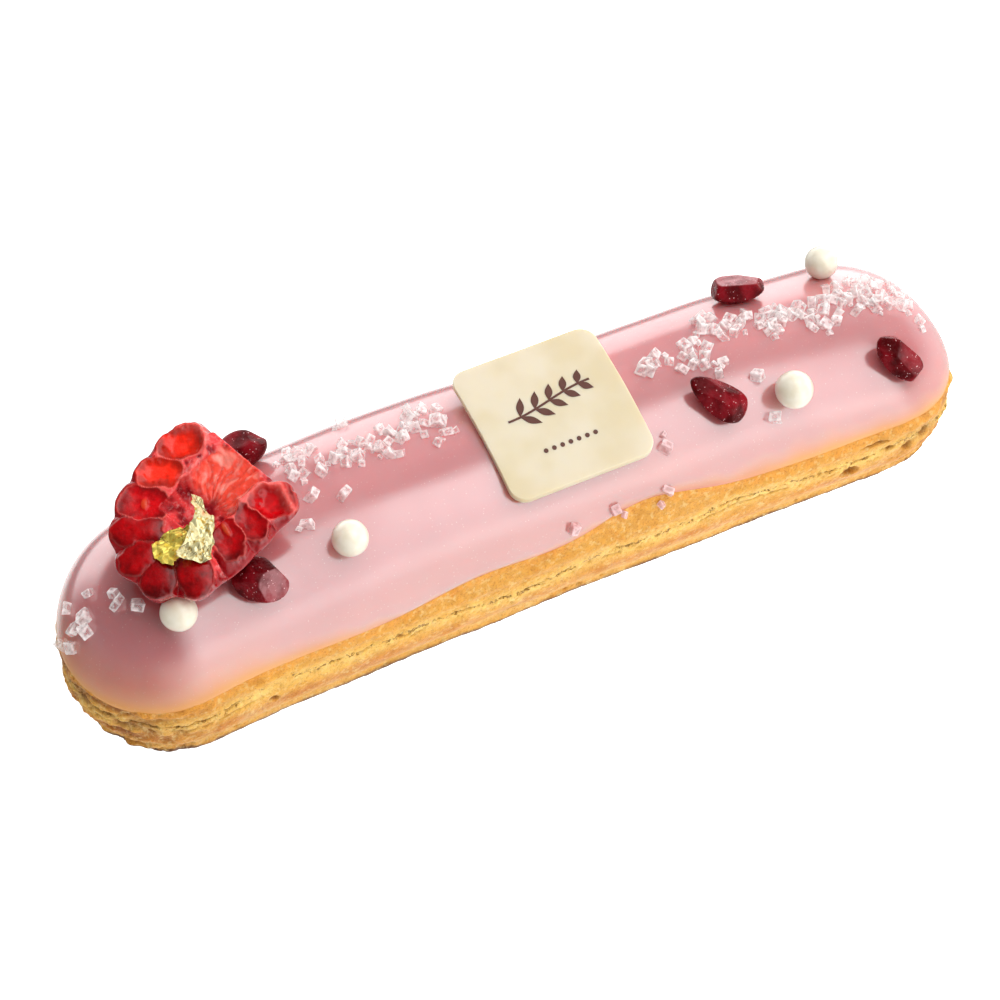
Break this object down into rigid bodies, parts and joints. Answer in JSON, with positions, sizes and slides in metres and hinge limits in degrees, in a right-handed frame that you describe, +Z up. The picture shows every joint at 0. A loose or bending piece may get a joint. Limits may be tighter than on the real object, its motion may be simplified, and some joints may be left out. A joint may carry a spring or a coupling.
{
  "type": "eclair",
  "caption": "Oblong iced eclair of choux pastry with a pink glaze, half a raspberry with gold leaf, pomegranate arils, sugar pearls, coarse sugar and a chocolate plaque.",
  "frame": {"origin": "middle of the flat base of the pastry, on the surface it rests on", "axes": "+X along the eclair from the raspberry end to the plain end, +Y to the back, +Z up out of the icing"},
  "size_m": [0.1511, 0.0369, 0.0425],
  "materials": {
    "choux": "baked golden choux crust with pale cracks and browned edges",
    "icing": "smooth glossy pale pink glaze",
    "sugar": "clear coarse sugar crystals",
    "raspberry": "wet cut fruit, translucent red with paler membranes",
    "gold_leaf": "crumpled gold foil",
    "white_chocolate": "satin ivory chocolate",
    "cocoa_print": "thin brown cocoa transfer",
    "sugar_pearl": "pearly ivory sugar shell",
    "pomegranate": "dark garnet fruit with frosted specks"
  },
  "bodies": {
    "root": {"choux": "choux", "icing": "icing", "raspberry": "raspberry", "gold_leaf": "gold_leaf", "plaque": "white_chocolate", "pearl_1": "sugar_pearl", "pearl_2": "sugar_pearl", "pearl_3": "sugar_pearl", "pearl_4": "sugar_pearl", "pomegranate_1": "pomegranate", "pomegranate_2": "pomegranate", "pomegranate_3": "pomegranate", "pomegranate_4": "pomegranate", "pomegranate_5": "pomegranate"}
  },
  "joints": []
}
